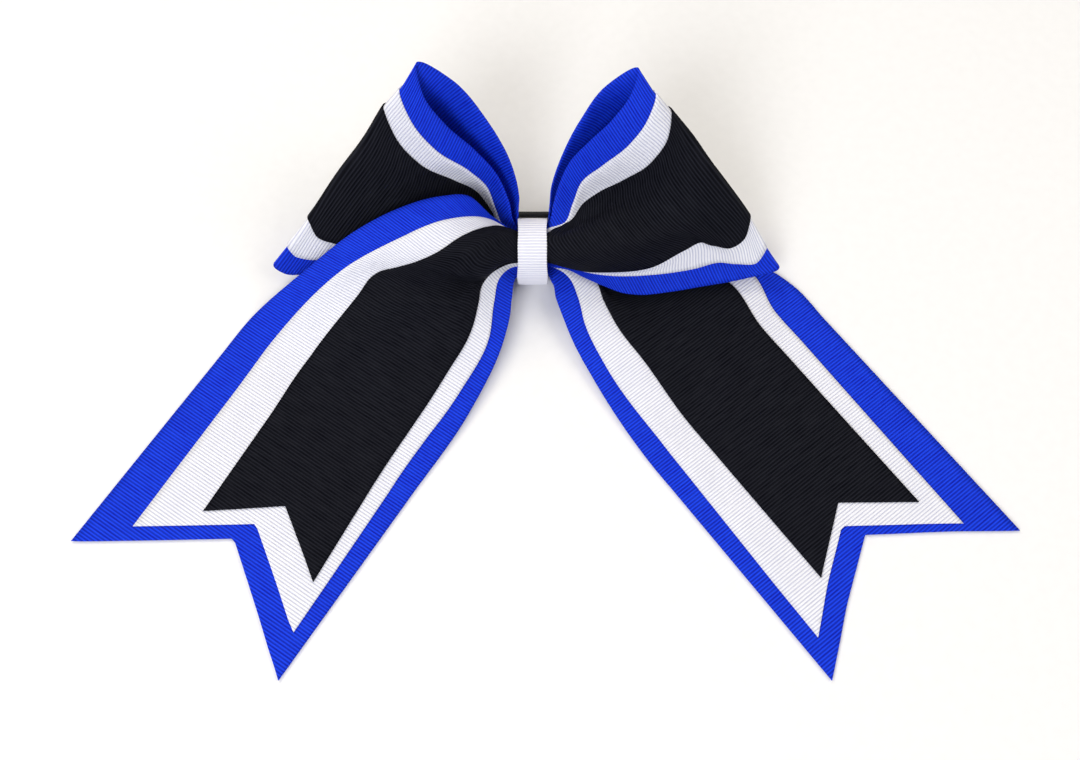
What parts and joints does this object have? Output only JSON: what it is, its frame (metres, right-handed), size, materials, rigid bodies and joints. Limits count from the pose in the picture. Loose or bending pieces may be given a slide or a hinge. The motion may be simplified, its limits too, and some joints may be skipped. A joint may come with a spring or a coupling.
{
  "type": "cheer hair bow",
  "caption": "Layered grosgrain cheer bow with puffed loops, notched tails, a narrow centre wrap and a hair elastic on the back.",
  "frame": {"origin": "on the flat back of the centre wrap, where the bow rests, on the knot's left-right middle", "axes": "+X along the bow to the right as seen from its front, +Y towards the tops of the loops, +Z out of the bow's front"},
  "size_m": [0.2789, 0.1674, 0.0583],
  "materials": {
    "blue_grosgrain": "royal blue polyester grosgrain, fine cross ribs, soft sheen",
    "white_grosgrain": "white polyester grosgrain, fine cross ribs",
    "black_grosgrain": "black polyester grosgrain, fine cross ribs, soft sheen",
    "wrap_grosgrain": "narrow white grosgrain with picot-free woven edges",
    "thread": "waxed polyester thread",
    "glue": "set hot-melt glue, slightly cloudy",
    "elastic_cord": "braided black cover over a rubber core",
    "sleeve": "bonded black sleeve over the cord's ends"
  },
  "bodies": {
    "knot": {"blue_gather": "blue_grosgrain", "white_gather": "white_grosgrain", "black_gather": "black_grosgrain", "cinch_thread": "thread", "centre_wrap": "wrap_grosgrain", "hot_glue": "glue"},
    "left_tail": {"blue_left_tail": "blue_grosgrain", "white_left_tail": "white_grosgrain", "black_left_tail": "black_grosgrain"},
    "right_tail": {"blue_right_tail": "blue_grosgrain", "white_right_tail": "white_grosgrain", "black_right_tail": "black_grosgrain"},
    "left_loop": {"blue_left_loop": "blue_grosgrain", "white_left_loop": "white_grosgrain", "black_left_loop": "black_grosgrain"},
    "right_loop": {"blue_right_loop": "blue_grosgrain", "white_right_loop": "white_grosgrain", "black_right_loop": "black_grosgrain"},
    "hair_elastic": {"hair_elastic": "elastic_cord", "elastic_sleeve": "sleeve"}
  },
  "joints": [
    {"name": "left_tail_lift", "type": "hinge", "parent": "knot", "child": "left_tail", "pos_m": [-0.0055, 0, 0.0215], "axis": [0, 1, 0], "range_deg": [0, 40]},
    {"name": "right_tail_swing", "type": "hinge", "parent": "knot", "child": "right_tail", "pos_m": [0.0055, 0, 0.005], "axis": [0, 0, 1], "range_deg": [-10, 8]},
    {"name": "left_loop_perk", "type": "hinge", "parent": "knot", "child": "left_loop", "pos_m": [-0.0055, 0.003, 0.012], "axis": [0, 0, -1], "range_deg": [0, 10]},
    {"name": "right_loop_perk", "type": "hinge", "parent": "knot", "child": "right_loop", "pos_m": [0.0055, 0.003, 0.012], "axis": [0, 0, 1], "range_deg": [-5, 10]},
    {"name": "elastic_swing", "type": "hinge", "parent": "knot", "child": "hair_elastic", "pos_m": [0, 0.0021, 0.0021], "axis": [-1, 0, 0], "range_deg": [0, 150]}
  ]
}
